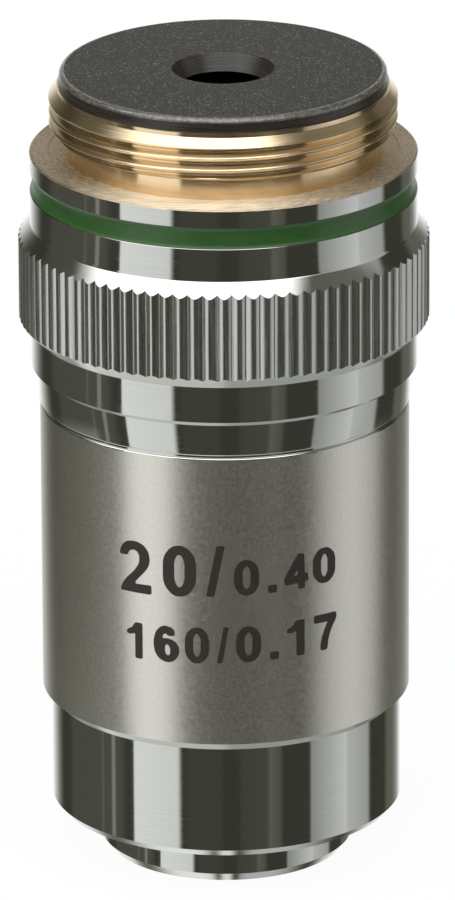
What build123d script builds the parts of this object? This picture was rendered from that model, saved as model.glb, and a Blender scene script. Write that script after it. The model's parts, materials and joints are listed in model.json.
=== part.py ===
from build123d import *
from math import pi
import os

# Microscope objective, 20x with an aperture of 0.40, for a 160 mm tube. Millimetres.
# The optical axis is +Z and the origin is the centre of the nose tip, on which it stands.
# Every piece is turned about the axis. The lenses ride in a barrel that a spring holds
# down against a stop, so the nose gives way upward when it meets a slide.

# Fits and gaps
SEAT_FIT = 0.02  # radial gap of screwed, pressed and cemented seats
RUNNING_FIT = 0.05  # radial gap of the sliding nose and barrel
STOP_GAP = 0.02  # end gap at the barrel's stop and at the spring's two seats
TRAVEL = 2.0  # how far the nose retracts

# Mount thread, from which every radius follows
THREAD_RADIUS = 10.13  # standard objective thread, major diameter 20.26
NECK_UNDERCUT = 0.83
NECK_WALL = 1.25  # neck to the bore that guides the barrel
SPIGOT_WALL = 1.83  # guide bore to the spigot under the sleeve
STOP_STEP = 0.60  # barrel over the nose

# Outside, from the nose tip upward
NOSE_EXPOSED = 2.79
NOSE_CHAMFER_HEIGHT = 0.55
NOSE_CHAMFER_DEPTH = 0.40
COLLAR_HEIGHT = 6.77
COLLAR_CHAMFER_HEIGHT = 0.41
COLLAR_CHAMFER_DEPTH = 0.30
SLEEVE_LENGTH = 18.18
SLEEVE_WALL = 0.90
SLEEVE_CHAMFER = 0.51
SLEEVE_TOP_EDGE = 0.09
RELIEF_WIDTH = 0.16
RELIEF_DEPTH = 0.50
LOWER_BAND_HEIGHT = 1.89
LOWER_BAND_EDGE = 0.20
LOWER_BAND_RISE = 0.07  # lower band over the sleeve
BAND_STEP_HEIGHT = 0.32
BAND_STEP_DEPTH = 0.41  # main bands over the lower band
MIDDLE_BAND_HEIGHT = 2.14
KNURL_RISE = 0.70  # crests over the main bands
KNURL_LOWER_CHAMFER = 0.74
KNURL_CREST_LENGTH = 4.84
KNURL_UPPER_CHAMFER = 0.86
KNURL_COUNT = 88
KNURL_DEPTH = 0.18
KNURL_LAND = 0.06  # flat left on each crest
GROOVE_OVERCUT = 1.2  # groove outline drawn past the crests
UPPER_BAND_HEIGHT = 4.31
SHOULDER_EDGE = 0.10
SEAT_RELIEF = 0.05  # step down of the shoulder round the neck
SEAT_CLEARANCE = 0.10  # seat's inner edge outside the thread
COLOUR_SETBACK = 1.10  # shoulder to the colour ring's upper edge
COLOUR_WIDTH = 1.27
COLOUR_DEPTH = 0.45
COLOUR_INSET = 0.04  # enamel below the bands
NECK_HEIGHT = 1.27
THREAD_LENGTH = 2.78
THREAD_CHAMFER = 0.49
THREAD_LEAD = 0.25  # plain end above the thread's chamfer
CAP_HEIGHT = 0.85
CAP_INSET = 0.61  # cap edge inside the thread
CAP_EDGE = 0.30
CAP_WEB = 1.00
CAP_SPIGOT_LENGTH = 3.00
CAP_SPIGOT_WALL = 1.95
REAR_HOLE_RADIUS = 2.975

# Sliding barrel and its stops
COLLAR_LIP = 3.20  # length of the collar's nose bore
COLLAR_THREAD_LENGTH = 4.40
COLLAR_RELIEF = 0.25  # collar counterbore over the guide bore
SPIGOT_GAP = 0.10  # end gap between the collar's and the body's spigots
SHIM_THICKNESS = 0.30
SHIM_CLEARANCE = 0.10
BARREL_WALL = 1.50
BARREL_LENGTH = 28.0
PIN_RADIUS = 0.80
PIN_SETBACK = 5.00  # pin above the end of the body's spigot
PIN_INSET = 0.10  # pin end below the spigot's surface
SLOT_DEPTH = 0.80
SLOT_CLEARANCE = 0.12
SPRING_WIRE = 0.60  # side of the square wire
SPRING_TURNS = 3
SPRING_INSET = 0.80  # coil centre line inside the barrel

# Lenses, cells and rings
NOSE_SPIGOT_LENGTH = 4.70
NOSE_WALL = 1.10
FRONT_LENS_RADIUS = 2.60
FRONT_LENS_EDGE = 0.80
FRONT_LENS_SAG = 1.40
FRONT_LENS_RECESS = 0.45
FRONT_LENS_LIP = 0.60
FRONT_LENS_HEADROOM = 0.35  # lens top to the floor of the nose
FRONT_BEVEL = 0.50  # flare of the recess at the nose tip
CEMENT_GAP = 0.03
CELL_LIP_WIDTH = 0.45
CELL_LIP_HEIGHT = 0.80
CELL_RIM = 0.60  # cell wall above the crown's edge
FRONT_CELL_WALL = 2.56
FRONT_FLINT_EDGE = 1.90
FRONT_CEMENT_SAG = 0.60
FRONT_CROWN_EDGE = 1.00
FRONT_CROWN_SAG = 0.50
REAR_CELL_WALL = 1.86
REAR_FLINT_EDGE = 2.00
REAR_CEMENT_SAG = 0.70
REAR_CROWN_EDGE = 1.20
REAR_CROWN_SAG = 0.60
FRONT_SPACER_LENGTH = 2.00
REAR_SPACER_LENGTH = 4.50
LOCK_RING_LENGTH = 2.00
RING_WALL = 1.40

# Heights on the axis
collar_bottom = NOSE_EXPOSED
sleeve_bottom = collar_bottom + COLLAR_HEIGHT
sleeve_top = sleeve_bottom + SLEEVE_LENGTH
lower_band_bottom = sleeve_top + RELIEF_WIDTH
band_step = lower_band_bottom + LOWER_BAND_HEIGHT
middle_band_bottom = band_step + BAND_STEP_HEIGHT
knurl_bottom = middle_band_bottom + MIDDLE_BAND_HEIGHT
crest_bottom = knurl_bottom + KNURL_LOWER_CHAMFER
crest_top = crest_bottom + KNURL_CREST_LENGTH
knurl_top = crest_top + KNURL_UPPER_CHAMFER
shoulder = knurl_top + UPPER_BAND_HEIGHT
colour_top = shoulder - COLOUR_SETBACK
colour_bottom = colour_top - COLOUR_WIDTH
thread_bottom = shoulder + NECK_HEIGHT
thread_top = thread_bottom + THREAD_LENGTH
cap_top = thread_top + CAP_HEIGHT
cap_foot = thread_top - CAP_SPIGOT_LENGTH
stop_level = collar_bottom + COLLAR_LIP
barrel_bottom = stop_level + SHIM_THICKNESS + STOP_GAP
barrel_top = barrel_bottom + BARREL_LENGTH
collar_top = sleeve_bottom + COLLAR_THREAD_LENGTH
spigot_bottom = collar_top + SPIGOT_GAP
pin_level = spigot_bottom + PIN_SETBACK

# Radii, from the thread inward
neck_radius = THREAD_RADIUS - NECK_UNDERCUT
cap_radius = THREAD_RADIUS - CAP_INSET
guide_bore = neck_radius - NECK_WALL
barrel_radius = guide_bore - RUNNING_FIT
nose_radius = barrel_radius - STOP_STEP
nose_bore = nose_radius + RUNNING_FIT
barrel_bore = barrel_radius - BARREL_WALL
insert_radius = barrel_bore - SEAT_FIT
front_cell_bore = insert_radius - FRONT_CELL_WALL
front_pair_radius = front_cell_bore - SEAT_FIT
rear_cell_bore = insert_radius - REAR_CELL_WALL
rear_pair_radius = rear_cell_bore - SEAT_FIT

# Radii, from the guide bore outward
collar_counterbore = guide_bore + COLLAR_RELIEF
spigot_radius = guide_bore + SPIGOT_WALL
sleeve_bore = spigot_radius + SEAT_FIT
sleeve_radius = sleeve_bore + SLEEVE_WALL
collar_radius = sleeve_radius - SLEEVE_CHAMFER
lower_band_radius = sleeve_radius + LOWER_BAND_RISE
band_radius = lower_band_radius + BAND_STEP_DEPTH
knurl_radius = band_radius + KNURL_RISE
colour_floor = band_radius - COLOUR_DEPTH
seat_inner = THREAD_RADIUS + SEAT_CLEARANCE


def turn(*outline):
    """Revolve a closed outline of (radius, height) points about the optical axis."""
    with BuildSketch(Plane.XZ) as section:
        with BuildLine():
            Polyline(*outline, close=True)
        make_face()
    revolve(section.sketch, axis=Axis.Z)


def turn_ring(outer, inner, bottom, top):
    """A plain ring."""
    turn((inner, bottom), (outer, bottom), (outer, top), (inner, top))


def turn_lens(radius, bottom, edge, lower_sag, upper_sag):
    """A lens with an edge of the given height. A sag above 0 bulges outward."""
    top = bottom + edge
    with BuildSketch(Plane.XZ) as section:
        with BuildLine():
            if lower_sag:
                pole_low = (0, bottom - lower_sag)
                ThreePointArc((-radius, bottom), pole_low, (radius, bottom))
            else:
                Line((-radius, bottom), (radius, bottom))
            Line((radius, bottom), (radius, top))
            ThreePointArc((radius, top), (0, top + upper_sag), (-radius, top))
            Line((-radius, top), (-radius, bottom))
        make_face()
        split(bisect_by=Plane.YZ)
    revolve(section.sketch, axis=Axis.Z)


# Mount body: thread, shoulder, bands, knurl and the long inner spigot, turned from one bar
with BuildPart() as mount_body:
    turn(
        (guide_bore, spigot_bottom),
        (spigot_radius, spigot_bottom),
        (spigot_radius, sleeve_top),
        (sleeve_radius - RELIEF_DEPTH, sleeve_top),
        (sleeve_radius - RELIEF_DEPTH, lower_band_bottom),
        (lower_band_radius - LOWER_BAND_EDGE, lower_band_bottom),
        (lower_band_radius, lower_band_bottom + LOWER_BAND_EDGE),
        (lower_band_radius, band_step),
        (band_radius, middle_band_bottom),
        (band_radius, knurl_bottom),
        (knurl_radius, crest_bottom),
        (knurl_radius, crest_top),
        (band_radius, knurl_top),
        (band_radius, colour_bottom),
        (colour_floor, colour_bottom),
        (colour_floor, colour_top),
        (band_radius, colour_top),
        (band_radius, shoulder - SHOULDER_EDGE),
        (band_radius - SHOULDER_EDGE, shoulder),
        (seat_inner, shoulder),
        (seat_inner, shoulder - SEAT_RELIEF),
        (neck_radius, shoulder - SEAT_RELIEF),
        (neck_radius, thread_bottom),
        (THREAD_RADIUS, thread_bottom),
        (THREAD_RADIUS, thread_top - THREAD_LEAD - THREAD_CHAMFER),
        (THREAD_RADIUS - THREAD_CHAMFER, thread_top - THREAD_LEAD),
        (THREAD_RADIUS - THREAD_CHAMFER, thread_top),
        (guide_bore, thread_top),
    )
    # Straight knurl: wide V grooves that run out through both chamfers
    knurl_pitch = 2 * pi * knurl_radius / KNURL_COUNT
    groove_height = GROOVE_OVERCUT * KNURL_DEPTH
    groove_half = GROOVE_OVERCUT * (knurl_pitch - KNURL_LAND) / 2
    with BuildSketch(Plane.XY.offset(knurl_bottom)):
        with PolarLocations(knurl_radius - KNURL_DEPTH, KNURL_COUNT, start_angle=180 / KNURL_COUNT):
            Polygon((0, 0), (groove_height, -groove_half), (groove_height, groove_half), align=None)
    extrude(amount=knurl_top - knurl_bottom, mode=Mode.SUBTRACT)
    # Cross hole for the guide pin
    with BuildSketch(Plane.YZ):
        with Locations((0, pin_level)):
            Circle(PIN_RADIUS + SEAT_FIT)
    extrude(amount=spigot_radius + SEAT_FIT, mode=Mode.SUBTRACT)

# Colour ring: enamel that fills the groove
with BuildPart() as colour_ring:
    turn_ring(
        band_radius - COLOUR_INSET,
        colour_floor + SEAT_FIT,
        colour_bottom + SEAT_FIT,
        colour_top - SEAT_FIT,
    )

# Rear cap: screwed into the thread end, it carries the spring and the rear stop hole
with BuildPart() as rear_cap:
    cap_spigot = guide_bore - SEAT_FIT
    cap_cavity = cap_spigot - CAP_SPIGOT_WALL
    turn(
        (cap_cavity, cap_foot),
        (cap_spigot, cap_foot),
        (cap_spigot, thread_top),
        (cap_radius, thread_top),
        (cap_radius, cap_top),
        (REAR_HOLE_RADIUS, cap_top),
        (REAR_HOLE_RADIUS, cap_top - CAP_WEB),
        (cap_cavity, cap_top - CAP_WEB),
    )
    rim = rear_cap.edges().filter_by(GeomType.CIRCLE).group_by(Axis.Z)[-1].sort_by(SortBy.RADIUS)[-1]
    chamfer(rim, length=CAP_EDGE)

# Outer sleeve: screwed on the body's spigot, it carries the markings
with BuildPart() as outer_sleeve:
    turn_ring(sleeve_radius, sleeve_bore, sleeve_bottom, sleeve_top)
    outer_rims = outer_sleeve.edges().filter_by(GeomType.CIRCLE).sort_by(SortBy.RADIUS)[-2:].sort_by(Axis.Z)
    chamfer(outer_rims[0], length=SLEEVE_CHAMFER)
    outer_rims = outer_sleeve.edges().filter_by(GeomType.CIRCLE).group_by(Axis.Z)[-1].sort_by(SortBy.RADIUS)
    chamfer(outer_rims[-1], length=SLEEVE_TOP_EDGE)

# Front collar: screwed into the sleeve, its lip guides the nose and stops the barrel
with BuildPart() as front_collar:
    turn(
        (nose_bore, collar_bottom),
        (collar_radius - COLLAR_CHAMFER_DEPTH, collar_bottom),
        (collar_radius, collar_bottom + COLLAR_CHAMFER_HEIGHT),
        (collar_radius, sleeve_bottom),
        (spigot_radius, sleeve_bottom),
        (spigot_radius, collar_top),
        (collar_counterbore, collar_top),
        (collar_counterbore, stop_level),
        (nose_bore, stop_level),
    )

# Focus shim: sets the height at which the barrel stops
with BuildPart() as focus_shim:
    shim_outer = collar_counterbore - SHIM_CLEARANCE
    shim_inner = nose_bore + SHIM_CLEARANCE
    turn_ring(shim_outer, shim_inner, stop_level, stop_level + SHIM_THICKNESS)

# Guide pin: pressed into the spigot, its inner end rides in the barrel's slot
with BuildPart() as guide_pin:
    pin_tip = barrel_radius - SLOT_DEPTH + SLOT_CLEARANCE
    pin_end = spigot_radius - PIN_INSET
    with BuildSketch(Plane.YZ.offset(pin_tip)):
        with Locations((0, pin_level)):
            Circle(PIN_RADIUS)
    extrude(amount=pin_end - pin_tip)

# Lens barrel: slides in the body, with a straight slot for the guide pin
with BuildPart() as lens_barrel:
    turn_ring(barrel_radius, barrel_bore, barrel_bottom, barrel_top)
    slot_half = PIN_RADIUS + SLOT_CLEARANCE
    slot_low = pin_level - slot_half - TRAVEL
    slot_high = pin_level + slot_half
    with BuildSketch(Plane.YZ.offset(barrel_radius - SLOT_DEPTH)):
        with Locations((0, (slot_low + slot_high) / 2)):
            SlotOverall(slot_high - slot_low, 2 * slot_half, rotation=90)
    extrude(amount=2 * SLOT_DEPTH, mode=Mode.SUBTRACT)

# Spring: a square-wire coil between the barrel's end and the rear cap
with BuildPart() as spring:
    spring_foot = barrel_top + STOP_GAP + SPRING_WIRE / 2
    spring_head = cap_foot - STOP_GAP - SPRING_WIRE / 2
    spring_height = spring_head - spring_foot
    with BuildLine() as coil:
        Helix(
            pitch=spring_height / SPRING_TURNS,
            height=spring_height,
            radius=barrel_radius - SPRING_INSET,
            center=(0, 0, spring_foot),
        )
    with BuildSketch(Plane(origin=coil.line @ 0, x_dir=(0, 0, 1), z_dir=coil.line % 0)):
        Rectangle(SPRING_WIRE, SPRING_WIRE)
    sweep(is_frenet=True)

# Nose cell: the visible nose, screwed into the barrel, with the front lens in its tip
lens_seat = FRONT_LENS_RECESS
lens_hole = FRONT_LENS_RADIUS + SEAT_FIT
nose_floor = lens_seat + FRONT_LENS_EDGE + FRONT_LENS_SAG + FRONT_LENS_HEADROOM
nose_top = barrel_bottom + NOSE_SPIGOT_LENGTH
with BuildPart() as nose_cell:
    turn(
        (FRONT_LENS_RADIUS - FRONT_LENS_LIP + FRONT_BEVEL, 0),
        (nose_radius - NOSE_CHAMFER_DEPTH, 0),
        (nose_radius, NOSE_CHAMFER_HEIGHT),
        (nose_radius, barrel_bottom),
        (insert_radius, barrel_bottom),
        (insert_radius, nose_top),
        (insert_radius - NOSE_WALL, nose_top),
        (insert_radius - NOSE_WALL, nose_floor),
        (lens_hole, nose_floor),
        (lens_hole, lens_seat),
        (FRONT_LENS_RADIUS - FRONT_LENS_LIP, lens_seat),
    )

# Front lens: the flat face looks down at the slide
with BuildPart() as front_lens:
    turn_lens(FRONT_LENS_RADIUS, lens_seat, FRONT_LENS_EDGE, 0, FRONT_LENS_SAG)

# Two cemented pairs, each in its own cell, with a spacer below it
front_spacer_top = nose_top + FRONT_SPACER_LENGTH
with BuildPart() as front_spacer:
    turn_ring(insert_radius, insert_radius - RING_WALL, nose_top, front_spacer_top)

front_seat = front_spacer_top + CELL_LIP_HEIGHT
front_crown_seat = front_seat + FRONT_FLINT_EDGE + CEMENT_GAP
front_cell_top = front_crown_seat + FRONT_CROWN_EDGE + CELL_RIM
with BuildPart() as front_pair_cell:
    turn(
        (front_pair_radius - CELL_LIP_WIDTH, front_spacer_top),
        (insert_radius, front_spacer_top),
        (insert_radius, front_cell_top),
        (front_cell_bore, front_cell_top),
        (front_cell_bore, front_seat),
        (front_pair_radius - CELL_LIP_WIDTH, front_seat),
    )
with BuildPart() as front_flint:
    turn_lens(front_pair_radius, front_seat, FRONT_FLINT_EDGE, 0, -FRONT_CEMENT_SAG)
with BuildPart() as front_crown:
    turn_lens(front_pair_radius, front_crown_seat, FRONT_CROWN_EDGE, FRONT_CEMENT_SAG, FRONT_CROWN_SAG)

rear_spacer_top = front_cell_top + REAR_SPACER_LENGTH
with BuildPart() as rear_spacer:
    turn_ring(insert_radius, insert_radius - RING_WALL, front_cell_top, rear_spacer_top)

rear_seat = rear_spacer_top + CELL_LIP_HEIGHT
rear_crown_seat = rear_seat + REAR_FLINT_EDGE + CEMENT_GAP
rear_cell_top = rear_crown_seat + REAR_CROWN_EDGE + CELL_RIM
with BuildPart() as rear_pair_cell:
    turn(
        (rear_pair_radius - CELL_LIP_WIDTH, rear_spacer_top),
        (insert_radius, rear_spacer_top),
        (insert_radius, rear_cell_top),
        (rear_cell_bore, rear_cell_top),
        (rear_cell_bore, rear_seat),
        (rear_pair_radius - CELL_LIP_WIDTH, rear_seat),
    )
with BuildPart() as rear_flint:
    turn_lens(rear_pair_radius, rear_seat, REAR_FLINT_EDGE, 0, -REAR_CEMENT_SAG)
with BuildPart() as rear_crown:
    turn_lens(rear_pair_radius, rear_crown_seat, REAR_CROWN_EDGE, REAR_CEMENT_SAG, REAR_CROWN_SAG)

# Lock ring: screwed into the barrel, it clamps the stack of cells
with BuildPart() as lock_ring:
    turn_ring(insert_radius, insert_radius - RING_WALL, rear_cell_top, rear_cell_top + LOCK_RING_LENGTH)

pieces = {
    "mount_body": mount_body,
    "colour_ring": colour_ring,
    "rear_cap": rear_cap,
    "outer_sleeve": outer_sleeve,
    "front_collar": front_collar,
    "focus_shim": focus_shim,
    "guide_pin": guide_pin,
    "spring": spring,
    "lens_barrel": lens_barrel,
    "nose_cell": nose_cell,
    "front_lens": front_lens,
    "front_spacer": front_spacer,
    "front_pair_cell": front_pair_cell,
    "front_flint": front_flint,
    "front_crown": front_crown,
    "rear_spacer": rear_spacer,
    "rear_pair_cell": rear_pair_cell,
    "rear_flint": rear_flint,
    "rear_crown": rear_crown,
    "lock_ring": lock_ring,
}

os.makedirs("parts", exist_ok=True)
for name, piece in pieces.items():
    piece.part.label = name
    export_step(piece.part, f"parts/{name}.step")
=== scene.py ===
import json
from math import atan2, cos, hypot, pi, radians, sin, tan

import bmesh
import bpy
from mathutils import Matrix, Vector


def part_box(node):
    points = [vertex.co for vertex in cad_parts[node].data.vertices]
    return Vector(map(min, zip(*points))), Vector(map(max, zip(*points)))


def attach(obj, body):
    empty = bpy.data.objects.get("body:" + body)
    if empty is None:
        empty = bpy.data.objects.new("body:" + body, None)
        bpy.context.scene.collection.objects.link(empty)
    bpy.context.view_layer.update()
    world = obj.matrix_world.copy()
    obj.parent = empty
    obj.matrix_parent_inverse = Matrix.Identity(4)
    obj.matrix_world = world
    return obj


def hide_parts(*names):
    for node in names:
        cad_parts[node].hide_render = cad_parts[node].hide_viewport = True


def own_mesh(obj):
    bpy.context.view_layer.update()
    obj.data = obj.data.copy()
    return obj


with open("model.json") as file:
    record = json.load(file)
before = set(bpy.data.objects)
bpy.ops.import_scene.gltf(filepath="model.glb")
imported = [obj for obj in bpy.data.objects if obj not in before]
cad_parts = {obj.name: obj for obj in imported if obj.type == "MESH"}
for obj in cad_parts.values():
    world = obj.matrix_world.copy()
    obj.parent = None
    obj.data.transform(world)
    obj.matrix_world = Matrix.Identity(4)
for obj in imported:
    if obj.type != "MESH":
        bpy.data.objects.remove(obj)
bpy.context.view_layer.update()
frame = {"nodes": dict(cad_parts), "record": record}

bl_info = {
    "name": "Microscope objective",
    "version": (1, 0, 0),
    "blender": (4, 5, 0),
    "location": "3D View > Sidebar > Objective",
    "description": "Dresses the packed objective: turned chrome and brass, knurl, thread and markings",
    "category": "Object",
}

MM = 0.001
FIXED_BODY = "body"
SLIDING_BODY = "nose"

# Points this near count as one: on a ring or level, when doubles merge, and on a cut
NEAR = 0.001 * MM
MERGE = 0.0002 * MM
ON_CUT = 0.0001 * MM


def node_radius(name):
    """Outer radius of a turned CAD node."""
    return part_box(name)[1][0]


def node_heights(name):
    """Lowest and highest point of a CAD node on the axis."""
    low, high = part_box(name)
    return low[2], high[2]


MOUNTS = {mount["name"]: mount for mount in frame["record"]["mounts"]}
SHOULDER = MOUNTS["seating_shoulder"]["pos_m"][2]
THREAD_RADIUS = MOUNTS["objective_thread"]["dims"]["r_mm"] * MM
KNURL_RADIUS = node_radius("mount_body")
SPIGOT_BOTTOM, THREAD_TOP = node_heights("mount_body")
COLOUR_BOTTOM, COLOUR_TOP = node_heights("colour_ring")
SLEEVE_RADIUS = node_radius("outer_sleeve")
SLEEVE_BOTTOM, SLEEVE_TOP = node_heights("outer_sleeve")
COLLAR_RADIUS = node_radius("front_collar")
COLLAR_BOTTOM, COLLAR_TOP = node_heights("front_collar")
CAP_RADIUS = node_radius("rear_cap")
CAP_FOOT, CAP_TOP = node_heights("rear_cap")
NOSE_RADIUS = node_radius("nose_cell")
NOSE_BOTTOM, NOSE_TOP = node_heights("nose_cell")
BARREL_RADIUS = node_radius("lens_barrel")
BARREL_BOTTOM = node_heights("lens_barrel")[0]
INSERT_RADIUS = node_radius("front_spacer")
LENS_RADIUS = node_radius("front_lens")
LENS_BOTTOM = node_heights("front_lens")[0]

# Fits and walls that the boxes don't show
SEAT_FIT = 0.02 * MM
RUNNING_FIT = 0.05 * MM
SLEEVE_WALL = 0.90 * MM
GUIDE_BORE = BARREL_RADIUS + RUNNING_FIT
SPIGOT_RADIUS = SLEEVE_RADIUS - SLEEVE_WALL - SEAT_FIT


def linear(code):
    """Linear colour of an sRGB hex value."""
    shares = [int(code[at:at + 2], 16) / 255 for at in (1, 3, 5)]
    return tuple(c / 12.92 if c <= 0.04045 else ((c + 0.055) / 1.055) ** 2.4 for c in shares)


def length(name, description, millimetres):
    """A length that a user may change, kept in metres."""
    return bpy.props.FloatProperty(
        name=name,
        description=description,
        default=millimetres * MM,
        unit="LENGTH",
        precision=6,
    )


def angle(name, description, degree):
    """An angle that a user may change, kept in radians."""
    return bpy.props.FloatProperty(
        name=name,
        description=description,
        default=radians(degree),
        subtype="ANGLE",
    )


def colour(name, description, code):
    """A colour that a user may change, given as an sRGB hex value."""
    return bpy.props.FloatVectorProperty(
        name=name,
        description=description,
        default=linear(code),
        size=3,
        min=0.0,
        max=1.0,
        subtype="COLOR",
    )


class ObjectiveSizes(bpy.types.PropertyGroup):
    """Sizes of the turned pieces"""

    upper_band: length("Upper band", "Knurl to the seating shoulder", 4.31)
    knurl_upper_chamfer: length("Knurl upper chamfer", "Height of the chamfer over the crests", 0.86)
    knurl_fillet: length("Knurl fillet", "Hollow between that chamfer and the upper band", 0.30)
    knurl_crest: length("Knurl crest", "Length of the knurl's crests", 4.84)
    knurl_lower_chamfer: length("Knurl lower chamfer", "Height of the chamfer under the crests", 0.74)
    knurl_rise: length("Knurl rise", "Crests over the main bands", 0.70)
    knurl_depth: length("Knurl depth", "Depth of the V grooves", 0.18)
    knurl_count: bpy.props.IntProperty(
        name="Knurl count",
        description="Grooves round the knurl",
        default=88,
        min=12,
    )
    middle_band: length("Middle band", "Height of the band under the knurl", 2.14)
    band_step: length("Band step", "Height of the sloping step between the bands", 0.32)
    band_step_depth: length("Band step depth", "Main bands over the lower band", 0.41)
    lower_band_edge: length("Lower band edge", "Rounding under the lower band", 0.12)
    relief_width: length("Relief width", "Groove between the sleeve and the lower band", 0.16)
    relief_depth: length("Relief depth", "Depth of that groove", 0.12)
    shoulder_edge: length("Shoulder edge", "Chamfer round the seating shoulder", 0.10)
    seat_relief: length("Seat relief", "Step down of the shoulder round the neck", 0.05)
    seat_clearance: length("Seat clearance", "Inner edge of the seat outside the thread", 0.10)
    neck_height: length("Neck height", "Plain neck under the thread", 1.27)
    neck_undercut: length("Neck undercut", "Neck inside the thread's crests", 0.83)
    thread_pitch: length("Thread pitch", "36 turns to the inch", 0.7056)
    thread_depth: length("Thread depth", "Crest to root", 0.43)
    thread_chamfer: length("Thread chamfer", "Lead-in at the top of the thread", 0.49)
    thread_lead: length("Thread lead", "Plain end over the lead-in", 0.25)
    thread_runout: length("Thread run-out", "Bevel where the thread ends over the neck", 0.40)
    thread_start: length("Thread start", "How far the crests are shifted up the axis", 0.15)
    thread_fade: length("Thread fade", "Length in which the groove runs out under the lead-in", 0.20)
    colour_depth: length("Colour groove depth", "Depth of the groove under the enamel", 0.45)
    colour_dish: length("Colour dish", "Hollow of the enamel's face", 0.10)
    groove_edge: length("Groove edge", "Bevel on the two edges of the colour groove", 0.02)
    cap_round: length("Cap rounding", "Rounded outer edge of the black cap", 0.30)
    cap_web: length("Cap web", "Thickness of the cap round its hole", 1.00)
    cap_spigot_wall: length("Cap spigot wall", "Wall of the cap's screwed spigot", 1.95)
    rear_hole_radius: length("Rear hole radius", "Radius of the hole in the cap", 2.975)
    rear_hole_taper: length("Rear hole taper", "How far the hole narrows to its foot", 0.52)
    sleeve_wall: length("Sleeve wall", "Wall of the satin sleeve", SLEEVE_WALL / MM)
    sleeve_chamfer: length("Sleeve chamfer", "Bright chamfer under the sleeve", 0.51)
    sleeve_top_edge: length("Sleeve top edge", "Rounding over the sleeve", 0.12)
    collar_chamfer_height: length("Collar chamfer height", "Chamfer under the collar", 0.41)
    collar_chamfer_depth: length("Collar chamfer depth", "Chamfer under the collar", 0.30)
    collar_lip: length("Collar lip", "Length of the collar's nose bore", 3.20)
    collar_relief: length("Collar relief", "Counterbore over the guide bore", 0.25)
    nose_chamfer_height: length("Nose chamfer height", "Chamfer round the nose tip", 0.55)
    nose_chamfer_depth: length("Nose chamfer depth", "Chamfer round the nose tip", 0.40)
    nose_wall: length("Nose wall", "Wall of the nose's screwed spigot", 1.10)
    nose_floor: length("Nose floor", "Floor of the nose over its tip", 3.00)
    lens_lip: length("Lens lip", "Lip under the front lens", 0.60)
    lens_bevel: length("Lens bevel", "Flare of the recess at the nose tip", 0.50)
    spring_wire: length("Spring wire", "Side of the spring's square wire", 0.60)
    spring_turns: bpy.props.IntProperty(
        name="Spring turns",
        description="Turns of the spring",
        default=3,
        min=1,
    )


class ObjectiveFinishes(bpy.types.PropertyGroup):
    """Colours of the finishes"""

    chrome: colour("Chrome plate", "Polished chrome seen straight on", "#CACDC8")
    satin: colour("Satin chrome", "Bead-blasted chrome", "#DFDED5")
    brass: colour("Bare brass", "Turned brass seen straight on", "#F0D9B4")
    faced: colour("Faced brass", "Brass of the seating shoulder", "#F3E3C9")
    lacquer: colour("Black lacquer", "Sand-textured lacquer of the cap", "#34332D")
    black: colour("Blackened brass", "Chemically blackened brass", "#2B2621")
    green: colour("Green enamel", "Enamel of the colour ring", "#2F5627")
    ink: colour("Marking paint", "Paint in the markings", "#28231C")
    steel: colour("Spring steel", "Bare steel of the spring and the pin", "#B9B7B2")
    glass: colour("Glass", "Clear optical glass", "#FBFDFB")
    floor: colour("Floor", "Pale studio floor", "#F4F4F2")


class ObjectiveStage(bpy.types.PropertyGroup):
    """Camera of the studio view"""

    elevation: angle("Elevation", "How far the camera looks down", 20.0)
    roll: angle("Roll", "Turn of the camera about its line of sight", -0.28)
    distance: length("Distance", "Camera to the optical axis", 615.0)
    aim_height: length("Aim height", "Height on the axis at the picture's middle", 24.36)
    aim_offset: length("Aim offset", "Aim to the right of the axis", 0.15)
    lens: bpy.props.FloatProperty(
        name="Lens",
        description="Focal length for a 36 mm high sensor",
        default=419.5,
        unit="CAMERA",
    )


def add_node(tree, kind, inputs=None, output=0, **settings):
    """Add a shader node with its settings, values and links, and return one of its outputs."""
    node = tree.nodes.new("ShaderNode" + kind)
    for name, value in settings.items():
        setattr(node, name, value)
    for key, source in (inputs or {}).items():
        if isinstance(source, bpy.types.NodeSocket):
            tree.links.new(source, node.inputs[key])
        else:
            node.inputs[key].default_value = source
    return node.outputs[output] if node.outputs else node


def start_material(name):
    """A node material with an empty tree."""
    made = bpy.data.materials.get(name) or bpy.data.materials.new(name)
    made.use_nodes = True
    made.node_tree.nodes.clear()
    return made, made.node_tree


def tool_marks(tree, spacing, run):
    """Fine rings round the axis, as a cutting tool leaves them, that change slowly along their run."""
    place = add_node(tree, "TexCoord", output="Object")
    level = add_node(tree, "VectorMath", {0: place, 1: (1, 1, 0)}, operation="MULTIPLY")
    radius = add_node(tree, "VectorMath", {0: level}, "Value", operation="LENGTH")
    height = add_node(tree, "SeparateXYZ", {0: place}, "Z")
    section = add_node(tree, "CombineXYZ", {"X": radius, "Y": height})
    rings = add_node(tree, "VectorMath", {0: section, "Scale": 1 / spacing}, operation="SCALE")
    drift = add_node(tree, "VectorMath", {0: level, "Scale": 1 / run}, operation="SCALE")
    where = add_node(tree, "VectorMath", {0: rings, 1: drift}, operation="ADD")
    return add_node(tree, "TexNoise", {"Vector": where, "Scale": 1.0, "Detail": 2.0})


def stretched_grain(tree, across, along):
    """Noise with specks of one size across the axis and another along it."""
    place = add_node(tree, "TexCoord", output="Object")
    share = (1 / across, 1 / across, 1 / along)
    where = add_node(tree, "VectorMath", {0: place, 1: share}, operation="MULTIPLY")
    return add_node(tree, "TexNoise", {"Vector": where, "Scale": 1.0, "Detail": 1.0})


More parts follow.
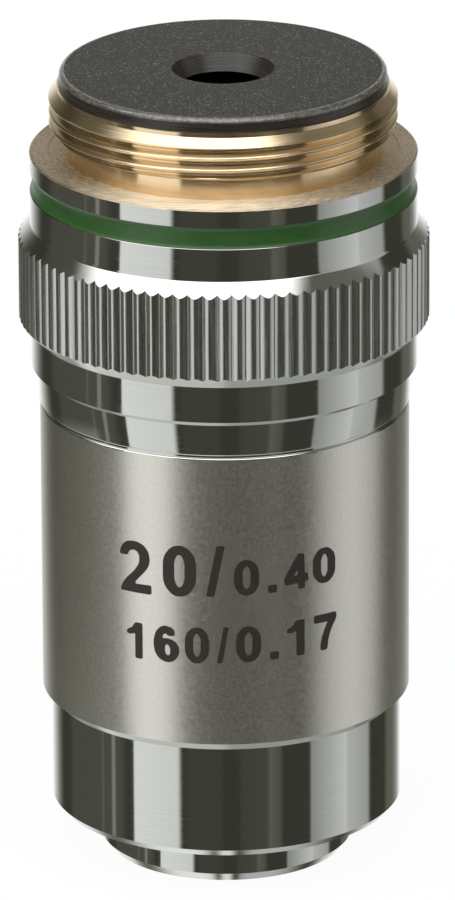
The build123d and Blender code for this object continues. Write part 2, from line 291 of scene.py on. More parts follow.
def scattered_grains_and_glints(tree, size, rarity):
    """Cells of one size, most of them dark and a few bright; the rarer, the fewer."""
    place = add_node(tree, "TexCoord", output="Object")
    cells = add_node(tree, "TexVoronoi", {"Vector": place, "Scale": 1 / size}, "Color")
    chance = add_node(tree, "SeparateXYZ", {0: cells}, "X")
    return add_node(tree, "Math", {0: chance, 1: rarity}, operation="POWER")


# Noise seldom leaves this span, so the span is what reaches a finish's two limits
PATTERN_SPAN = {"From Min": 0.3, "From Max": 0.7}


def surface(made, rgb, pattern, gloss, tone=None, depth=0.0, **others):
    """Close a material: its pattern gives roughness, colour and relief between their limits."""
    tree = made.node_tree
    limits = {"Value": pattern, **PATTERN_SPAN}
    roughness = add_node(tree, "MapRange", {**limits, "To Min": gloss[0], "To Max": gloss[1]})
    inputs = {"Base Color": (*rgb, 1.0), "Roughness": roughness}
    if tone:
        share = add_node(tree, "MapRange", {**limits, "To Min": tone[0], "To Max": tone[1]})
        shade = {0: tuple(rgb), "Scale": share}
        inputs["Base Color"] = add_node(tree, "VectorMath", shade, operation="SCALE")
    if depth:
        relief = {"Height": pattern, "Strength": 1.0, "Distance": depth}
        inputs["Normal"] = add_node(tree, "Bump", relief)
    inputs.update({name.replace("_", " "): value for name, value in others.items()})
    shader = add_node(tree, "BsdfPrincipled", inputs)
    add_node(tree, "OutputMaterial", {"Surface": shader})
    return made


# A quarter turn from the tool's path, so that reflections spread across its marks
ACROSS_MARKS = {"Anisotropic": 1.0, "Anisotropic_Rotation": 0.25}


def chrome_plate(colours):
    """Polished chrome on turned brass: a mirror with faint lines left by the tool and the buff."""
    made, tree = start_material("chrome plate, turned and buffed")
    # Real tool marks are about 0.05 mm apart, under a pixel here, so they are drawn at 0.12 mm
    lines = tool_marks(tree, 0.12 * MM, 9 * MM)
    return surface(made, colours.chrome, lines, (0.03, 0.09), (0.96, 1.01), 0.0002 * MM, Metallic=1.0)


def knurled_chrome(colours):
    """Chrome on rolled ridges: bright, with fine scores along the ridges that break up the mirror."""
    made, tree = start_material("chrome plate, rolled knurl")
    scores = stretched_grain(tree, 0.06 * MM, 4 * MM)
    return surface(made, colours.chrome, scores, (0.18, 0.28), (0.82, 1.0), 0.001 * MM, Metallic=1.0)


def satin_chrome(colours):
    """Bead-blasted chrome: reflections blur to soft bands, with a fine even grain."""
    made, tree = start_material("satin chrome, bead-blasted")
    # Blasting leaves dimples of about 0.05 mm, drawn at 0.2 mm so that they show
    dimples = stretched_grain(tree, 0.2 * MM, 0.2 * MM)
    return surface(made, colours.satin, dimples, (0.28, 0.34), (0.94, 1.05), 0.001 * MM, Metallic=1.0)


def cut_brass(colours):
    """Screw-cut brass without plate: warm and bright, with fine lines left by the tool."""
    made, tree = start_material("bare brass, screw-cut")
    lines = tool_marks(tree, 0.08 * MM, 3 * MM)
    gloss, tone = (0.13, 0.18), (0.85, 1.0)
    return surface(made, colours.brass, lines, gloss, tone, 0.001 * MM, Metallic=1.0, **ACROSS_MARKS)


def turned_brass(colours):
    """Brass turned with a round tool: soft up and down, crisp from side to side."""
    made, tree = start_material("bare brass, turned")
    lines = tool_marks(tree, 0.10 * MM, 3 * MM)
    # Painted light: the neck's brass is lifted to between one and 1.12 times its colour, lighter than the
    # thread's brass
    gloss, tone = (0.14, 0.20), (1.0, 1.12)
    return surface(made, colours.brass, lines, gloss, tone, 0.001 * MM, Metallic=1.0, **ACROSS_MARKS)


def faced_brass(colours):
    """Brass faced off with a pointed tool: coarse rings that spread the light up and down."""
    made, tree = start_material("bare brass, faced")
    rings = tool_marks(tree, 0.14 * MM, 0.5 * MM)
    spread = {**ACROSS_MARKS, "Anisotropic": 0.85}
    gloss, tone = (0.55, 0.72), (0.65, 1.15)
    return surface(made, colours.faced, rings, gloss, tone, 0.08 * MM, Metallic=1.0, **spread)


def sand_lacquer_painted_glints(colours):
    """Black lacquer with sand in it: dull dark grey, with painted glints, a few grains painted pale in its
    colour.
    """
    made, tree = start_material("black lacquer, sand-textured")
    # The cells give the sand's relief; the few bright ones are also painted glints that lighten the colour
    # up to seven times
    grains_and_glints = scattered_grains_and_glints(tree, 0.065 * MM, 12.0)
    return surface(
        made, colours.lacquer, grains_and_glints, (0.55, 0.40), (0.92, 7.0), 0.02 * MM, Specular_IOR_Level=0.3
    )


def rim_lacquer_painted_highlight(colours):
    """The same lacquer on the rounded edge, with a clear gloss and a painted highlight: its grains are
    painted lighter, as glints.
    """
    made, tree = start_material("black lacquer, rubbed edge")
    grains_and_glints = scattered_grains_and_glints(tree, 0.12 * MM, 1.0)
    # Painted highlight: the edge's colour is lightened one to four times, grain by grain
    return surface(
        made, colours.lacquer, grains_and_glints, (0.40, 0.2), (1.0, 4.0), 0.03 * MM,
        Specular_IOR_Level=1.0, Coat_Weight=1.0, Coat_Roughness=0.25,
    )


def bored_black(colours):
    """Blackened brass out of a boring tool: dark and glossy, with fine rings."""
    made, tree = start_material("blackened brass, bored")
    rings = tool_marks(tree, 0.09 * MM, 4 * MM)
    return surface(made, colours.black, rings, (0.22, 0.38), (0.7, 1.4), 0.02 * MM)


def poured_enamel(colours):
    """Green enamel poured in the groove: a deep colour under a soft gloss."""
    made, tree = start_material("green enamel, poured")
    flow = stretched_grain(tree, 1.5 * MM, 0.6 * MM)
    return surface(made, colours.green, flow, (0.28, 0.36), (0.9, 1.1), 0.004 * MM)


def marking_paint(colours):
    """Black paint wiped into the markings: flat and slightly uneven."""
    made, tree = start_material("black paint, wiped")
    film = stretched_grain(tree, 0.2 * MM, 0.2 * MM)
    return surface(made, colours.ink, film, (0.5, 0.65), (0.8, 1.2), 0.004 * MM)


def drawn_steel(colours):
    """Spring steel drawn through a die: grey and bright, with fine lines along the wire."""
    made, tree = start_material("spring steel, drawn")
    lines = tool_marks(tree, 0.06 * MM, 3 * MM)
    return surface(made, colours.steel, lines, (0.20, 0.35), (0.8, 1.0), 0.002 * MM, Metallic=1.0)


def optical_glass(name, colours, refraction):
    """Polished glass: clear, with a trace of haze and the faint tint of its anti-reflection film."""
    made, tree = start_material(name)
    haze = stretched_grain(tree, 0.4 * MM, 0.4 * MM)
    film = {"Thin_Film_Thickness": 105.0, "Thin_Film_IOR": 1.38}
    return surface(made, colours.glass, haze, (0.0, 0.02), IOR=refraction, Transmission_Weight=1.0, **film)


def spin_outline(bm, outline, columns, closed=True, turns=1, climb=0.0):
    """Spin an outline of (radius, height) points about the axis, or screw it up by a climb per turn."""
    points = [bm.verts.new((radius, 0, height)) for radius, height in outline]
    pairs = list(zip(points, points[1:]))
    if closed:
        pairs.append((points[-1], points[0]))
    edges = [bm.edges.new(pair) for pair in pairs]
    bmesh.ops.spin(
        bm,
        geom=points + edges,
        cent=(0, 0, 0),
        axis=(0, 0, 1),
        dvec=(0, 0, climb / columns),
        angle=2 * pi * turns,
        steps=columns * turns,
        use_merge=not climb,
    )


def ring_edges(bm, radius, height):
    """The edges of one ring of a spun shape."""

    def on_ring(vert):
        return abs(vert.co.z - height) < NEAR and abs(hypot(vert.co.x, vert.co.y) - radius) < NEAR

    return [edge for edge in bm.edges if all(on_ring(vert) for vert in edge.verts)]


def round_edge(bm, radius, height, width, segments=4):
    """Round one edge of a spun shape."""
    bmesh.ops.bevel(
        bm,
        geom=ring_edges(bm, radius, height),
        offset=width,
        offset_type="OFFSET",
        affect="EDGES",
        segments=segments,
        profile=0.5,
        material=-1,
    )


def share_out(bm, choose):
    """Give each face the material that a rule picks by its radius and height."""
    for face in bm.faces:
        middle = face.calc_center_median()
        face.material_index = choose(hypot(middle.x, middle.y), middle.z)


SHARP_ANGLE = radians(20)
COLUMNS = 264


def finish_piece(bm, name, body, materials, replaced=()):
    """Turn a bmesh into a piece of the object, shaded smooth between its sharp edges."""
    bmesh.ops.remove_doubles(bm, verts=bm.verts, dist=MERGE)
    bmesh.ops.recalc_face_normals(bm, faces=bm.faces)
    for face in bm.faces:
        face.smooth = True
    for edge in bm.edges:
        edge.smooth = edge.is_manifold and edge.calc_face_angle() < SHARP_ANGLE
    mesh = bpy.data.meshes.new(name)
    bm.to_mesh(mesh)
    bm.free()
    for made in materials:
        mesh.materials.append(made)
    piece = bpy.data.objects.new(name, mesh)
    bpy.context.collection.objects.link(piece)
    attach(piece, body)
    if replaced:
        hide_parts(*replaced)
    return piece


class OBJECTIVE_OT_mount_body(bpy.types.Operator):
    """Turn the mount body with its knurl, bands, shoulder and thread"""

    bl_idname = "objective.mount_body"
    bl_label = "Mount body"

    # From the root of a V groove to the round crest: share of the half pitch, share of the depth
    GROOVE = ((0.0, 0.0), (0.22, 0.34), (0.50, 0.68), (0.78, 0.92), (1.0, 1.0))
    # How far a root may stand beside the middle, as a share of the half pitch, and how far depths differ
    LEAN = 0.06
    UNEVEN = 0.1
    # Waves out of step with the grooves, so that neighbours differ
    LEAN_WAVE = 7.3
    DEPTH_WAVE = 11.9
    COLUMNS_PER_GROOVE = 8
    FILLET_POINTS = 5
    THREAD_COLUMNS = 264
    THREAD_POINTS = 20
    # Turns of the thread's profile under the neck's top, and turns that it has to spare, for the trim
    TURNS_BELOW = 2
    TURNS_SPARE = 3
    # Order of the finishes
    CHROME, KNURL, THREAD, SEAT, NECK = range(5)
    # Faces this far outside the bore, or over the seat, still belong to it
    BORE_REACH = 0.1 * MM
    SEAT_REACH = 0.01 * MM

    def execute(self, context):
        sizes = context.scene.objective_sizes
        colours = context.scene.objective_finishes
        bm = bmesh.new()
        self.turn_body(bm, sizes)
        self.roll_knurl(bm, sizes)
        self.cut_thread(bm, sizes)
        self.plate(bm, sizes)
        finishes = (chrome_plate, knurled_chrome, cut_brass, faced_brass, turned_brass)
        metal = [make(colours) for make in finishes]
        finish_piece(bm, "mount_body_turned", FIXED_BODY, metal, ["mount_body"])
        return {"FINISHED"}

    def heights(self, sizes):
        """Heights of the knurl's four edges."""
        top = SHOULDER - sizes.upper_band
        crest_top = top - sizes.knurl_upper_chamfer
        crest_bottom = crest_top - sizes.knurl_crest
        return crest_bottom - sizes.knurl_lower_chamfer, crest_bottom, crest_top, top

    def turn_body(self, bm, sizes):
        """Spin the outline, open where the thread goes."""
        band = KNURL_RADIUS - sizes.knurl_rise
        lower_band = band - sizes.band_step_depth
        relief_floor = SLEEVE_RADIUS - sizes.relief_depth
        lower_band_bottom = SLEEVE_TOP + sizes.relief_width
        colour_floor = band - sizes.colour_depth
        colour_bottom = COLOUR_BOTTOM - SEAT_FIT
        colour_top = COLOUR_TOP + SEAT_FIT
        neck = THREAD_RADIUS - sizes.neck_undercut
        seat = THREAD_RADIUS + sizes.seat_clearance
        knurl_bottom, crest_bottom, crest_top, knurl_top = self.heights(sizes)
        middle_band_bottom = knurl_bottom - sizes.middle_band
        edge = sizes.groove_edge
        slope = atan2(sizes.knurl_rise, sizes.knurl_upper_chamfer)
        hollow = sizes.knurl_fillet
        hollow_height = knurl_top + hollow * tan(slope / 2)
        turns = [slope * (1 - at / (self.FILLET_POINTS - 1)) for at in range(self.FILLET_POINTS)]
        fillet = [(band + hollow * (1 - cos(turn)), hollow_height - hollow * sin(turn)) for turn in turns]
        outline = [
            (GUIDE_BORE, THREAD_TOP),
            (GUIDE_BORE, SPIGOT_BOTTOM),
            (SPIGOT_RADIUS, SPIGOT_BOTTOM),
            (SPIGOT_RADIUS, SLEEVE_TOP),
            (relief_floor, SLEEVE_TOP),
            (relief_floor, lower_band_bottom),
            (lower_band, lower_band_bottom),
            (lower_band, middle_band_bottom - sizes.band_step),
            (band, middle_band_bottom),
            (band, knurl_bottom),
            (KNURL_RADIUS, crest_bottom),
            (KNURL_RADIUS, crest_top),
            *fillet,
            (band, colour_bottom - edge),
            (band - edge, colour_bottom),
            (colour_floor, colour_bottom),
            (colour_floor, colour_top),
            (band - edge, colour_top),
            (band, colour_top + edge),
            (band, SHOULDER - sizes.shoulder_edge),
            (band - sizes.shoulder_edge, SHOULDER),
            (seat, SHOULDER),
            (seat, SHOULDER - sizes.seat_relief),
            (neck, SHOULDER - sizes.seat_relief),
            (neck, SHOULDER + sizes.neck_height),
        ]
        spin_outline(bm, outline, sizes.knurl_count * self.COLUMNS_PER_GROOVE, closed=False)
        round_edge(bm, lower_band, lower_band_bottom, sizes.lower_band_edge)

    def roll_knurl(self, bm, sizes):
        """Sink the crests' columns to V grooves that run out in the chamfers, no two quite alike."""
        pitch = 2 * pi / sizes.knurl_count
        run_out = 1 / sizes.knurl_rise
        crest_middle = sum(self.heights(sizes)[1:3]) / 2
        for vert in bm.verts:
            radius = hypot(vert.co.x, vert.co.y)
            if radius < KNURL_RADIUS - NEAR:
                continue
            turn = atan2(vert.co.y, vert.co.x)
            groove = round(turn / pitch)
            column = round((turn / pitch - groove) * self.COLUMNS_PER_GROOVE)
            share, height = self.GROOVE[abs(column)]
            side = 1 if column > 0 else -1
            lean = self.LEAN * sin(self.LEAN_WAVE * groove) * (1 - share)
            uneven = 1 + self.UNEVEN * sin(self.DEPTH_WAVE * groove)
            depth = sizes.knurl_depth * (1 - height) * uneven
            turn = (groove + (side * share + lean) / 2) * pitch
            chamfer = sizes.knurl_upper_chamfer if vert.co.z > crest_middle else -sizes.knurl_lower_chamfer
            vert.co.x = (KNURL_RADIUS - depth) * cos(turn)
            vert.co.y = (KNURL_RADIUS - depth) * sin(turn)
            vert.co.z += run_out * depth * chamfer
        # Crests, not grooves, lie on the X and Y axes
        bmesh.ops.rotate(bm, verts=bm.verts, cent=(0, 0, 0), matrix=Matrix.Rotation(pitch / 2, 3, "Z"))

    def cut_thread(self, bm, sizes):
        """Screw the thread's profile up past the neck, trim it, turn its ends and join it to the body."""
        bottom = SHOULDER + sizes.neck_height
        lead_foot = THREAD_TOP - sizes.thread_lead
        neck = THREAD_RADIUS - sizes.neck_undercut
        body_rings = ring_edges(bm, neck, bottom), ring_edges(bm, GUIDE_BORE, THREAD_TOP)
        pitch = sizes.thread_pitch
        turns = round((THREAD_TOP - bottom) / pitch) + self.TURNS_SPARE
        start = bottom - self.TURNS_BELOW * pitch + sizes.thread_start
        swing = sizes.thread_depth / 2
        body_verts = set(bm.verts)

        def thread_verts():
            return [vert for vert in bm.verts if vert not in body_verts]

        shares = [at / self.THREAD_POINTS for at in range(self.THREAD_POINTS * turns + 1)]
        middle = THREAD_RADIUS - swing
        profile = [(middle + swing * cos(2 * pi * share), start + share * pitch) for share in shares]
        # After one turn the profile has climbed one pitch, on to itself
        spin_outline(bm, profile, self.THREAD_COLUMNS, closed=False, climb=pitch)
        bmesh.ops.remove_doubles(bm, verts=thread_verts(), dist=MERGE)
        runout_top = bottom + sizes.thread_runout
        chamfer_foot = lead_foot - sizes.thread_chamfer
        for level in (bottom, THREAD_TOP, runout_top, chamfer_foot, lead_foot):
            thread = thread_verts()
            faces = {face for vert in thread for face in vert.link_faces}
            edges = {edge for face in faces for edge in face.edges}
            bmesh.ops.bisect_plane(
                bm,
                geom=thread + list(edges) + list(faces),
                dist=ON_CUT,
                plane_co=(0, 0, level),
                plane_no=(0, 0, 1),
                clear_outer=level == THREAD_TOP,
                clear_inner=level == bottom,
            )
        thread = thread_verts()
        for vert in thread:
            radius = hypot(vert.co.x, vert.co.y)
            from_top = max(lead_foot - vert.co.z, 0) - sizes.thread_chamfer
            from_bottom = vert.co.z - runout_top
            limit = THREAD_RADIUS + min(from_top, from_bottom, 0)
            # The groove fades out under the lead-in
            fade = min(max(1 - from_top / sizes.thread_fade, 0), 1)
            ground = max(radius, THREAD_RADIUS - sizes.thread_depth * (1 - fade))
            vert.co.x *= min(ground, limit) / radius
            vert.co.y *= min(ground, limit) / radius
        for ring, level in zip(body_rings, (bottom, THREAD_TOP)):
            on_level = {vert for vert in thread if abs(vert.co.z - level) < NEAR}
            rim = [edge for edge in bm.edges if edge.is_boundary and on_level.issuperset(edge.verts)]
            bmesh.ops.bridge_loops(bm, edges=ring + rim)

    def plate(self, bm, sizes):
        """Chrome outside, bare brass from the shoulder's edge upward and inside."""
        crest_bottom, crest_top = self.heights(sizes)[1:3]
        neck_top = SHOULDER + sizes.neck_height

        def finish(radius, height):
            if radius < GUIDE_BORE + self.BORE_REACH or height < SLEEVE_TOP or height > neck_top:
                return self.THREAD
            if height > SHOULDER + self.SEAT_REACH:
                return self.NECK
            if height > SHOULDER - sizes.shoulder_edge:
                return self.SEAT
            return self.KNURL if crest_bottom < height < crest_top else self.CHROME

        share_out(bm, finish)


class OBJECTIVE_OT_colour_ring(bpy.types.Operator):
    """Fill the groove with a hollow-faced ring of green enamel"""

    bl_idname = "objective.colour_ring"
    bl_label = "Colour ring"

    FACE_POINTS = 16
    # How far the enamel stands back from the bands, and how flat the middle of its hollow is
    FACE_INSET = 0.04 * MM
    DISH_POWER = 4

    def execute(self, context):
        sizes = context.scene.objective_sizes
        face_radius = node_radius("colour_ring")
        floor = face_radius - sizes.colour_depth + SEAT_FIT + self.FACE_INSET
        middle = (COLOUR_TOP + COLOUR_BOTTOM) / 2
        half = (COLOUR_TOP - COLOUR_BOTTOM) / 2
        outline = [(floor, COLOUR_TOP), (floor, COLOUR_BOTTOM)]
        for at in range(self.FACE_POINTS + 1):
            share = -cos(pi * at / self.FACE_POINTS)
            hollow = sizes.colour_dish * (1 - share ** self.DISH_POWER)
            outline.append((face_radius - hollow, middle + share * half))
        bm = bmesh.new()
        spin_outline(bm, outline, COLUMNS)
        enamel = poured_enamel(context.scene.objective_finishes)
        finish_piece(bm, "colour_ring_enamel", FIXED_BODY, [enamel], ["colour_ring"])
        return {"FINISHED"}


class OBJECTIVE_OT_rear_cap(bpy.types.Operator):
    """Turn the black cap with its rounded edge and rear hole"""

    bl_idname = "objective.rear_cap"
    bl_label = "Rear cap"

    # Order of the finishes
    TOP, BORED, EDGE = range(3)

    def execute(self, context):
        sizes = context.scene.objective_sizes
        spigot = GUIDE_BORE - SEAT_FIT
        cavity = spigot - sizes.cap_spigot_wall
        web_bottom = CAP_TOP - sizes.cap_web
        outline = [
            (cavity, CAP_FOOT),
            (spigot, CAP_FOOT),
            (spigot, THREAD_TOP),
            (CAP_RADIUS, THREAD_TOP),
            (CAP_RADIUS, CAP_TOP),
            (sizes.rear_hole_radius, CAP_TOP),
            (sizes.rear_hole_radius - sizes.rear_hole_taper, web_bottom),
            (cavity, web_bottom),
        ]
        bm = bmesh.new()
        spin_outline(bm, outline, COLUMNS)
        round_edge(bm, CAP_RADIUS, CAP_TOP, sizes.cap_round, segments=8)

        def finish(radius, height):
            # The side under the rounding takes the darker blackened brass instead of the lacquer, without
            # its specks: painted shade on the cap's side
            if radius < sizes.rear_hole_radius or height < CAP_TOP - sizes.cap_round:
                return self.BORED
            # The rounded edge takes the lacquer with the painted highlight
            return self.EDGE if radius > CAP_RADIUS - sizes.cap_round else self.TOP

        share_out(bm, finish)
        colours = context.scene.objective_finishes
        black = [sand_lacquer_painted_glints(colours), bored_black(colours), rim_lacquer_painted_highlight(colours)]
        finish_piece(bm, "rear_cap_lacquered", FIXED_BODY, black, ["rear_cap"])
        return {"FINISHED"}


class OBJECTIVE_OT_outer_sleeve(bpy.types.Operator):
    """Turn the satin sleeve with its bright chamfer"""

    bl_idname = "objective.outer_sleeve"
    bl_label = "Outer sleeve"

    # Order of the finishes
    SATIN, BRIGHT = range(2)

    def execute(self, context):
        sizes = context.scene.objective_sizes
        bore = SLEEVE_RADIUS - sizes.sleeve_wall
        outline = [
            (bore, SLEEVE_TOP),
            (bore, SLEEVE_BOTTOM),
            (SLEEVE_RADIUS - sizes.sleeve_chamfer, SLEEVE_BOTTOM),
            (SLEEVE_RADIUS, SLEEVE_BOTTOM + sizes.sleeve_chamfer),
            (SLEEVE_RADIUS, SLEEVE_TOP),
        ]
        bm = bmesh.new()
        spin_outline(bm, outline, COLUMNS)
        round_edge(bm, SLEEVE_RADIUS, SLEEVE_TOP, sizes.sleeve_top_edge)
        satin_bottom = SLEEVE_BOTTOM + sizes.sleeve_chamfer
        satin_top = SLEEVE_TOP - sizes.sleeve_top_edge

        def finish(radius, height):
            return self.SATIN if satin_bottom < height < satin_top else self.BRIGHT

        share_out(bm, finish)
        colours = context.scene.objective_finishes
        plate = [satin_chrome(colours), chrome_plate(colours)]
        finish_piece(bm, "outer_sleeve_satin", FIXED_BODY, plate, ["outer_sleeve"])
        return {"FINISHED"}


class OBJECTIVE_OT_markings(bpy.types.Operator):
    """Draw the painted numbers and lay them round the sleeve"""

    bl_idname = "objective.markings"
    bl_label = "Markings"

    # Outlines in a box of 1 by 1, outer loop first; a third value marks a corner
    GLYPHS = {
        "0": (
            ((0, 0.5), (0.12, 0.86), (0.5, 1), (0.88, 0.86), (1, 0.5), (0.88, 0.14), (0.5, 0),
             (0.12, 0.14)),
            ((0.345, 0.5), (0.39, 0.75), (0.5, 0.82), (0.61, 0.75), (0.655, 0.5), (0.61, 0.25),
             (0.5, 0.18), (0.39, 0.25)),
        ),
        "1": (
            ((0, 0.66, 1), (0, 0.76, 1), (0.33, 0.86), (0.52, 1, 1), (0.97, 1, 1), (0.97, 0, 1),
             (0.52, 0, 1), (0.52, 0.70, 1), (0.3, 0.655)),
        ),
        "2": (
            ((0, 0.71, 1), (0.05, 0.84), (0.19, 0.96), (0.38, 1), (0.62, 0.985), (0.83, 0.885),
             (0.92, 0.725), (0.89, 0.555), (0.785, 0.44), (0.50, 0.213), (0.49, 0.17, 1), (0.97, 0.18, 1),
             (0.98, 0, 1), (0.02, 0, 1), (0.095, 0.143), (0.57, 0.54), (0.62, 0.65), (0.57, 0.80),
             (0.43, 0.834), (0.31, 0.79), (0.25, 0.71, 1)),
        ),
        "4": (
            ((0.57, 1, 1), (0.83, 0.98, 1), (0.86, 0.43, 1), (1, 0.40, 1), (1, 0.20, 1), (0.86, 0.19, 1),
             (0.86, 0, 1), (0.58, 0, 1), (0.58, 0.17, 1), (0.03, 0.14, 1), (0, 0.32, 1)),
            ((0.38, 0.385, 1), (0.57, 0.385, 1), (0.57, 0.58, 1)),
        ),
        "6": (
            ((0.85, 0.75, 1), (0.78, 0.92), (0.56, 0.99), (0.41, 1), (0.17, 0.90), (0.02, 0.67), (0, 0.42),
             (0.11, 0.17), (0.32, 0.04), (0.6, 0), (0.87, 0.10), (1, 0.31), (0.93, 0.50), (0.72, 0.625),
             (0.44, 0.655), (0.34, 0.645, 1), (0.38, 0.75), (0.47, 0.79), (0.59, 0.73, 1)),
            ((0.44, 0.34), (0.46, 0.45), (0.54, 0.49), (0.63, 0.42), (0.655, 0.31), (0.62, 0.21),
             (0.55, 0.185), (0.46, 0.24)),
        ),
        "7": (
            ((0, 1, 1), (1, 1, 1), (1, 0.86), (0.80, 0.6), (0.64, 0.3), (0.58, 0, 1), (0.28, 0, 1),
             (0.33, 0.28), (0.48, 0.57), (0.62, 0.78, 1), (0, 0.78, 1)),
        ),
        "/": (((0, 0, 1), (0.43, 0, 1), (1, 1, 1), (0.55, 1, 1)),),
        ".": (((0, 0, 1), (1, 0, 1), (1, 1, 1), (0, 1, 1)),),
    }
    # Foot on the axis and rise along the line, then glyph, left end from the front, width and height, in mm
    LINES = (
        (19.29, 0.035, (
            ("2", -6.50, 2.13, 3.14), ("0", -3.69, 1.98, 3.14), ("/", -1.13, 1.10, 3.14),
            ("0", 0.49, 1.46, 2.19), (".", 2.48, 0.53, 0.48), ("4", 3.44, 1.51, 2.19),
            ("0", 5.28, 1.51, 2.19),
        )),
        (15.16, 0.030, (
            ("1", -6.05, 1.07, 2.22), ("6", -4.28, 1.54, 2.22), ("0", -2.39, 1.41, 2.22),
            ("/", -0.51, 0.69, 2.22), ("0", 0.59, 1.46, 2.22), (".", 2.58, 0.54, 0.47),
            ("1", 3.61, 1.14, 2.22), ("7", 5.33, 1.53, 2.22),
        )),
    )
    # Rounding of a corner in mm, the most it takes of a side, and how near its curve keeps to the corner
    CORNER = 0.12
    CORNER_SHARE = 0.3
    CORNER_PULL = 0.55
    CURVE_STEPS = 6
    # Width of the upright slices of a flat glyph, and what counts there as one point and as cut, in mm
    SLICE = 0.15
    FLAT_MERGE = 1e-4
    FLAT_CUT = 1e-5
    # The paint's height over the sleeve, and its thickness with the part that lies in the metal
    FILM = 0.012 * MM
    ROOT = 0.02 * MM

    def execute(self, context):
        bm = bmesh.new()
        for foot, rise, row in self.LINES:
            for glyph, left, width, height in row:
                flat = self.draw_glyph(context, glyph, width, height)
                drawn = bmesh.new()
                drawn.from_mesh(flat)
                self.slice(drawn, width)
                bmesh.ops.translate(drawn, verts=drawn.verts, vec=(left, foot + rise * left, 0))
                self.wrap(drawn)
                drawn.to_mesh(flat)
                drawn.free()
                bm.from_mesh(flat)
                bpy.data.meshes.remove(flat)
        paint = [marking_paint(context.scene.objective_finishes)]
        finish_piece(bm, "sleeve_markings", FIXED_BODY, paint)
        return {"FINISHED"}

    def draw_glyph(self, context, glyph, width, height):
        """A filled glyph as a mesh in its own plane, in millimetres."""
        curve = bpy.data.curves.new("glyph", "CURVE")
        curve.dimensions = "2D"
        curve.fill_mode = "BOTH"
        curve.resolution_u = self.CURVE_STEPS
        for loop in self.GLYPHS[glyph]:
            places = [Vector((point[0] * width, point[1] * height, 0)) for point in loop]
            points = []
            for at, place in enumerate(places):
                if len(loop[at]) == 2:
                    points.append((place, "AUTO", None, "AUTO", None))
                    continue
                before = places[at - 1] - place
                after = places[(at + 1) % len(places)] - place
                start = place + before * min(self.CORNER_SHARE, self.CORNER / before.length)
                end = place + after * min(self.CORNER_SHARE, self.CORNER / after.length)
                points.append((start, "VECTOR", None, "FREE", start.lerp(place, self.CORNER_PULL)))
                points.append((end, "FREE", end.lerp(place, self.CORNER_PULL), "VECTOR", None))
            spline = curve.splines.new("BEZIER")
            spline.bezier_points.add(len(points) - 1)
            spline.use_cyclic_u = True
            for point, (place, left_kind, left, right_kind, right) in zip(spline.bezier_points, points):
                point.co = place
                point.handle_left_type = left_kind
                point.handle_right_type = right_kind
                if left:
                    point.handle_left = left
                if right:
                    point.handle_right = right
        flat = bpy.data.objects.new("glyph", curve)
        context.collection.objects.link(flat)
        graph = context.evaluated_depsgraph_get()
        mesh = bpy.data.meshes.new_from_object(flat.evaluated_get(graph))
        bpy.data.objects.remove(flat)
        bpy.data.curves.remove(curve)
        return mesh

    def slice(self, drawn, width):
        """Cut a glyph upright, so that it can bend round the sleeve."""
        bmesh.ops.remove_doubles(drawn, verts=drawn.verts, dist=self.FLAT_MERGE)
        for cut in range(1, int(width / self.SLICE) + 1):
            bmesh.ops.bisect_plane(
                drawn,
                geom=drawn.verts[:] + drawn.edges[:] + drawn.faces[:],
                dist=self.FLAT_CUT,
                plane_co=(cut * self.SLICE, 0, 0),
                plane_no=(1, 0, 0),
            )

    def wrap(self, drawn):
        """Roll a glyph round the sleeve and give the paint its thickness."""
        radius = SLEEVE_RADIUS + self.FILM
        for vert in drawn.verts:
            turn = vert.co.x * MM / SLEEVE_RADIUS
            vert.co = Vector((radius * sin(turn), -radius * cos(turn), vert.co.y * MM))
        bmesh.ops.recalc_face_normals(drawn, faces=drawn.faces)
        bmesh.ops.solidify(drawn, geom=drawn.faces[:], thickness=self.ROOT)


class OBJECTIVE_OT_front_collar(bpy.types.Operator):
    """Turn the polished collar"""

    bl_idname = "objective.front_collar"
    bl_label = "Front collar"

    def execute(self, context):
        sizes = context.scene.objective_sizes
        nose_bore = NOSE_RADIUS + RUNNING_FIT
        counterbore = GUIDE_BORE + sizes.collar_relief
        stop = COLLAR_BOTTOM + sizes.collar_lip
        outline = [
            (nose_bore, COLLAR_BOTTOM),
            (COLLAR_RADIUS - sizes.collar_chamfer_depth, COLLAR_BOTTOM),
            (COLLAR_RADIUS, COLLAR_BOTTOM + sizes.collar_chamfer_height),
            (COLLAR_RADIUS, SLEEVE_BOTTOM),
            (SPIGOT_RADIUS, SLEEVE_BOTTOM),
            (SPIGOT_RADIUS, COLLAR_TOP),
            (counterbore, COLLAR_TOP),
            (counterbore, stop),
            (nose_bore, stop),
        ]
        bm = bmesh.new()
        spin_outline(bm, outline, COLUMNS)
        plate = [chrome_plate(context.scene.objective_finishes)]
        finish_piece(bm, "front_collar_polished", FIXED_BODY, plate, ["front_collar"])
        return {"FINISHED"}


class OBJECTIVE_OT_nose_cell(bpy.types.Operator):
    """Turn the sliding nose with its chamfered tip"""

    bl_idname = "objective.nose_cell"
    bl_label = "Nose cell"

    def execute(self, context):
        sizes = context.scene.objective_sizes
        lens_hole = LENS_RADIUS + SEAT_FIT
        lip = LENS_RADIUS - sizes.lens_lip
        inner = INSERT_RADIUS - sizes.nose_wall
        outline = [
            (lip + sizes.lens_bevel, NOSE_BOTTOM),
            (NOSE_RADIUS - sizes.nose_chamfer_depth, NOSE_BOTTOM),
            (NOSE_RADIUS, NOSE_BOTTOM + sizes.nose_chamfer_height),
            (NOSE_RADIUS, BARREL_BOTTOM),
            (INSERT_RADIUS, BARREL_BOTTOM),
            (INSERT_RADIUS, NOSE_TOP),
            (inner, NOSE_TOP),
            (inner, sizes.nose_floor),
            (lens_hole, sizes.nose_floor),
            (lens_hole, LENS_BOTTOM),
            (lip, LENS_BOTTOM),
        ]
        bm = bmesh.new()
        spin_outline(bm, outline, COLUMNS)
        plate = [chrome_plate(context.scene.objective_finishes)]
        finish_piece(bm, "nose_cell_polished", SLIDING_BODY, plate, ["nose_cell"])
        return {"FINISHED"}


